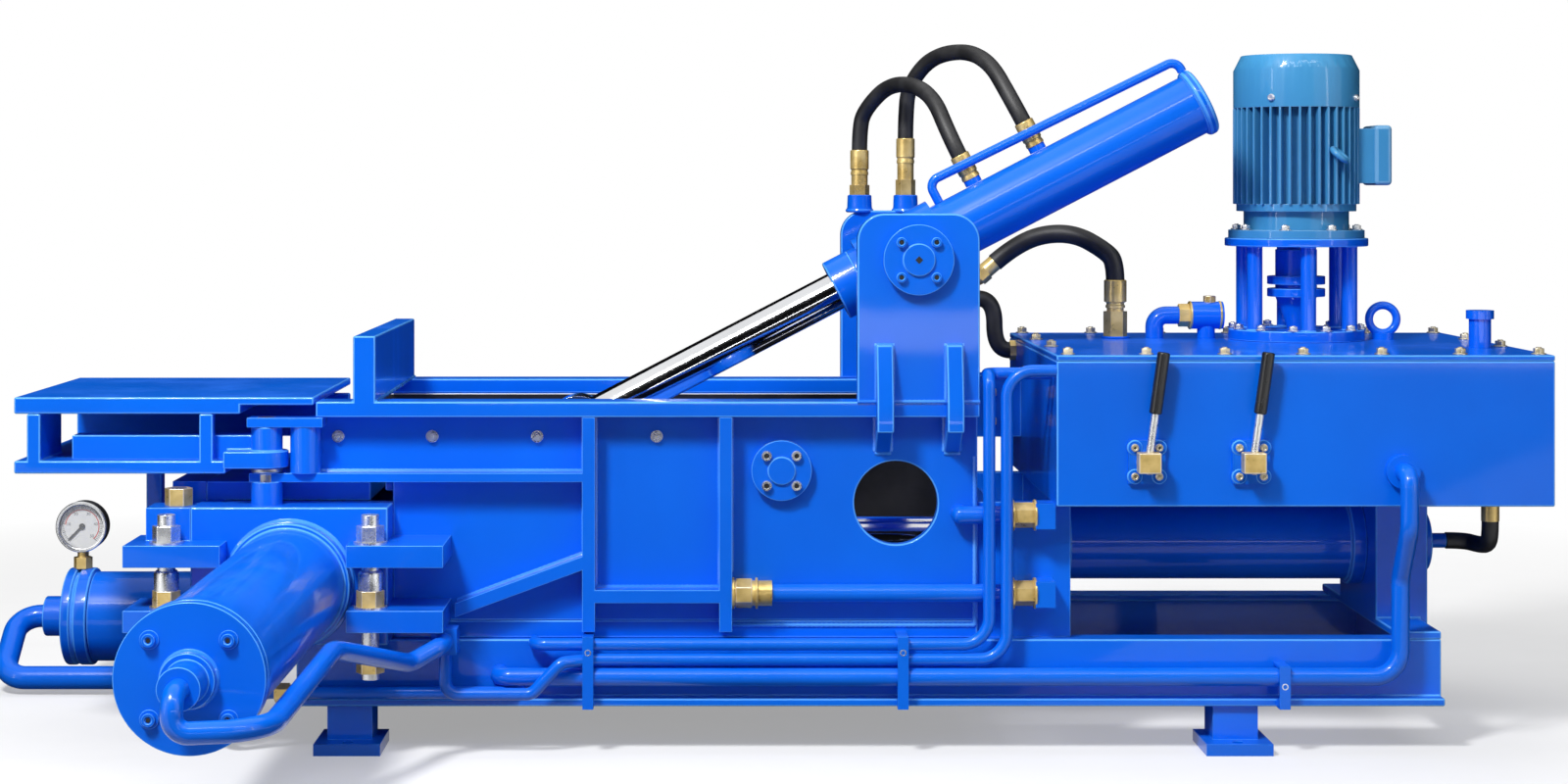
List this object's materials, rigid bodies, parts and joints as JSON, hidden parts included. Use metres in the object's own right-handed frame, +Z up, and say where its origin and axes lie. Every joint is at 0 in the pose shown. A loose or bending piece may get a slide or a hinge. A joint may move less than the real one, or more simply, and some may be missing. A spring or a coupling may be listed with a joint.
{
  "type": "recycling baler",
  "caption": "Hydraulic scrap baler: plate-walled press box with a hinged lid and trunnion cylinder, side ram, sliding gate, swing table, oil tank and upright motor.",
  "frame": {"origin": "middle of the four anchor holes, on the floor under the feet", "axes": "+X along the press towards the oil tank, +Y to the back, +Z up"},
  "size_m": [3.369, 2.1185, 1.4811],
  "materials": {
    "blue_paint": "gloss royal blue paint",
    "motor_paint": "satin steel blue paint",
    "worn_steel": "rubbed bare steel",
    "zinc_steel": "zinc plated",
    "hard_chrome": "polished hard chrome",
    "brass": "turned brass",
    "hose_rubber": "matt black",
    "black_grip": "black moulded plastic",
    "gauge_black": "black enamel",
    "needle_black": "matt black",
    "clear_glass": "clear"
  },
  "bodies": {
    "frame": {"base_frame": "blue_paint", "bearing_caps": "blue_paint", "brass_fittings": "brass", "brass_nuts": "brass", "chamber_shell": "blue_paint", "clamp_lugs": "blue_paint", "end_block": "blue_paint", "feet": "blue_paint", "floor_plate": "blue_paint", "front_wall": "blue_paint", "gate_barrel": "blue_paint", "gate_flange": "blue_paint", "gauge_case": "gauge_black", "gauge_glass": "clear_glass", "hinge_pin": "worn_steel", "hose_front": "hose_rubber", "hose_rear": "hose_rubber", "main_barrel": "blue_paint", "main_rear_cap": "blue_paint", "motor_body": "motor_paint", "motor_cowl": "motor_paint", "motor_stand": "blue_paint", "oil_pipes": "blue_paint", "pivot_shaft": "worn_steel", "rear_column": "blue_paint", "rear_wall": "blue_paint", "side_barrel": "blue_paint", "side_cap": "blue_paint", "side_head": "blue_paint", "tank_body": "blue_paint", "tank_bolts": "zinc_steel", "tank_fittings": "blue_paint", "tank_hoses": "hose_rubber", "tank_lid": "blue_paint", "tie_bolts": "zinc_steel", "top_rails": "blue_paint", "towers": "blue_paint", "wall_ribs": "blue_paint"},
    "press_ram": {"main_ram": "worn_steel", "main_rod": "hard_chrome"},
    "bale_ram": {"side_ram": "worn_steel", "side_rod": "hard_chrome"},
    "outlet_gate": {"bale_gate": "blue_paint", "gate_rod": "hard_chrome"},
    "press_lid": {"lid": "blue_paint", "lid_pin": "worn_steel"},
    "lid_cylinder": {"lid_barrel": "blue_paint", "lid_gland": "blue_paint", "lid_end_cap": "blue_paint", "lid_pipe": "blue_paint"},
    "lid_piston": {"lid_rod": "hard_chrome"},
    "swing_table": {"table_top_plate": "blue_paint", "table_frame": "blue_paint", "hinge_arm": "blue_paint"},
    "left_lever": {"lever_left": "zinc_steel", "grip_left": "black_grip"},
    "right_lever": {"lever_right": "zinc_steel", "grip_right": "black_grip"},
    "pump_drive": {"drive_coupling": "worn_steel"},
    "needle": {"gauge_needle": "needle_black"}
  },
  "joints": [
    {"name": "press_ram_slide", "type": "slide", "parent": "frame", "child": "press_ram", "axis": [-1, 0, 0], "range_m": [-0.25, 0.19]},
    {"name": "bale_ram_slide", "type": "slide", "parent": "frame", "child": "bale_ram", "axis": [0, 1, 0], "range_m": [0, 0.4]},
    {"name": "gate_slide", "type": "slide", "parent": "frame", "child": "outlet_gate", "axis": [1, 0, 0], "range_m": [0, 0.295]},
    {"name": "lid_hinge", "type": "hinge", "parent": "frame", "child": "press_lid", "pos_m": [-0.022, 0, 0.572], "axis": [0, 1, 0], "range_deg": [0, 65]},
    {"name": "lid_cylinder_trunnion", "type": "hinge", "parent": "frame", "child": "lid_cylinder", "pos_m": [0.256, 0, 1.006], "axis": [0, 1, 0], "range_deg": [0, 26.7]},
    {"name": "lid_piston_slide", "type": "slide", "parent": "lid_cylinder", "child": "lid_piston", "axis": [0.887, 0, 0.4617], "range_m": [0, 0.3835]},
    {"name": "table_hinge", "type": "hinge", "parent": "frame", "child": "swing_table", "pos_m": [-1.076, -0.343, 0.65], "axis": [0, 0, 1], "range_deg": [0, 75]},
    {"name": "left_lever_pivot", "type": "hinge", "parent": "frame", "child": "left_lever", "pos_m": [0.718, -0.4073, 0.596], "axis": [0, 1, 0], "range_deg": [-15, 15], "stiffness_Nm_per_rad": 12},
    {"name": "right_lever_pivot", "type": "hinge", "parent": "frame", "child": "right_lever", "pos_m": [0.93, -0.4073, 0.596], "axis": [0, 1, 0], "range_deg": [-15, 15], "stiffness_Nm_per_rad": 12},
    {"name": "pump_drive_spin", "type": "hinge", "parent": "frame", "child": "pump_drive", "pos_m": [1.15, 0.194, 0.94], "axis": [0, 0, 1], "continuous": true},
    {"name": "needle_pivot", "type": "hinge", "parent": "frame", "child": "needle", "pos_m": [-1.63, 0.3985, 0.364], "axis": [0, 1, 0], "range_deg": [0, 270], "stiffness_Nm_per_rad": 0.01}
  ],
  "couplings": [
    {"joint": "lid_cylinder_trunnion", "follows": "lid_hinge", "ratio": 0.409},
    {"joint": "lid_piston_slide", "follows": "lid_hinge", "m_per_rad": 0.3369}
  ]
}
